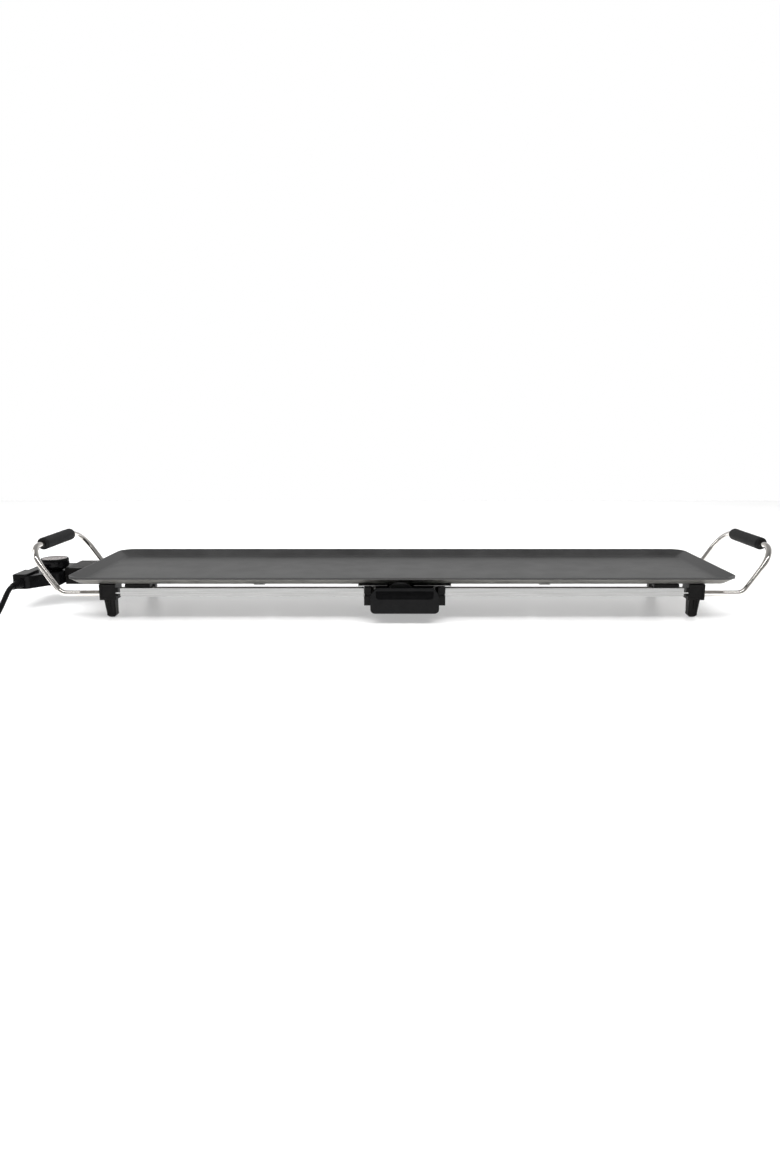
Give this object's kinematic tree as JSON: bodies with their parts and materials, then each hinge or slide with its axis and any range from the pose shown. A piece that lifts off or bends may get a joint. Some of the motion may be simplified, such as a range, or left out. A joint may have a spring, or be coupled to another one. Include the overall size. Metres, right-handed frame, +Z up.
{
  "type": "electric griddle",
  "caption": "Long, low table griddle: a coated cooking plate on four legs, with side handles, a slide-out drip tray and a plug-in thermostat with a mains lead.",
  "frame": {"origin": "on the table, under the middle of the griddle's outer box, lead not counted", "axes": "+X along the length, towards the handle without the thermostat; +Y to the back, away from the drip tray; +Z up"},
  "size_m": [1.1613, 0.3653, 0.1025],
  "materials": {
    "coated_aluminium": "matt black non-stick coating on cast aluminium, slightly satin on the floor",
    "element_steel": "oxidised stainless sheath of a tubular heating element",
    "bright_steel": "rolled bright sheet and rod",
    "chrome": "bright chrome plating",
    "foam": "matt closed-cell foam sleeve",
    "black_plastic": "moulded heat-resistant plastic, satin with a fine spark-eroded grain",
    "gloss_black": "gloss black moulding",
    "bright_trim": "satin bright disc",
    "ceramic": "off-white steatite",
    "spring_brass": "bare sprung brass",
    "lamp_glass": "clear neon lamp envelope",
    "red_lens": "clear red moulded lens",
    "screw_steel": "zinc-plated steel",
    "black_rubber": "satin flexible sheath",
    "tie_plastic": "coated wire tie",
    "plug_pin": "nickel-plated brass pin"
  },
  "bodies": {
    "griddle": {"griddle_plate": "coated_aluminium", "heating_element": "element_steel", "tray_holder_plate": "bright_steel", "front_rail_left": "chrome", "front_rail_right": "chrome", "rear_rail": "chrome", "handle_tube_left": "chrome", "handle_tube_right": "chrome", "grip_left": "foam", "grip_right": "foam", "tray_runner_left": "black_plastic", "tray_runner_right": "black_plastic", "socket_guard": "black_plastic", "element_bar_1": "bright_steel", "bar_screw_1": "screw_steel", "guard_screw_1": "screw_steel", "element_bar_2": "bright_steel", "bar_screw_2": "screw_steel", "guard_screw_2": "screw_steel", "holder_screw_left": "screw_steel", "leg_front_left": "black_plastic", "leg_screw_front_left": "screw_steel", "rail_spacer_front_left": "black_plastic", "leg_rear_left": "black_plastic", "leg_screw_rear_left": "screw_steel", "rail_spacer_rear_left": "black_plastic", "holder_screw_right": "screw_steel", "leg_front_right": "black_plastic", "leg_screw_front_right": "screw_steel", "rail_spacer_front_right": "black_plastic", "leg_rear_right": "black_plastic", "leg_screw_rear_right": "screw_steel", "rail_spacer_rear_right": "black_plastic"},
    "tray": {"drip_tray": "black_plastic"},
    "controller": {"controller_lower": "black_plastic", "controller_upper": "black_plastic", "thermostat_base": "ceramic", "fixed_blade": "spring_brass", "moving_blade": "spring_brass", "terminal_block": "ceramic", "cord_clamp": "black_plastic", "indicator_lamp": "lamp_glass", "indicator_lens": "red_lens", "contact_sleeve_front": "spring_brass", "contact_sleeve_rear": "spring_brass", "probe_rod": "bright_steel", "casing_screw_1": "screw_steel", "casing_screw_2": "screw_steel", "casing_screw_3": "screw_steel", "strain_relief": "black_rubber", "cord_run": "black_rubber", "cord_coil": "black_rubber", "cord_tie": "tie_plastic", "cord_tail": "black_rubber", "plug_body": "black_rubber", "plug_pin_1": "plug_pin", "plug_pin_2": "plug_pin"},
    "knob": {"knob": "gloss_black", "knob_disc": "bright_trim", "spindle": "bright_steel"}
  },
  "joints": [
    {"name": "tray_slide", "type": "slide", "parent": "griddle", "child": "tray", "axis": [0, -1, 0], "range_m": [0, 0.105]},
    {"name": "controller_slide", "type": "slide", "parent": "griddle", "child": "controller", "axis": [-1, 0, 0], "range_m": [0, 0.115]},
    {"name": "knob_turn", "type": "hinge", "parent": "controller", "child": "knob", "pos_m": [-0.4919, 0.00675, 0.055], "axis": [0, 0, -1], "range_deg": [0, 270]}
  ]
}
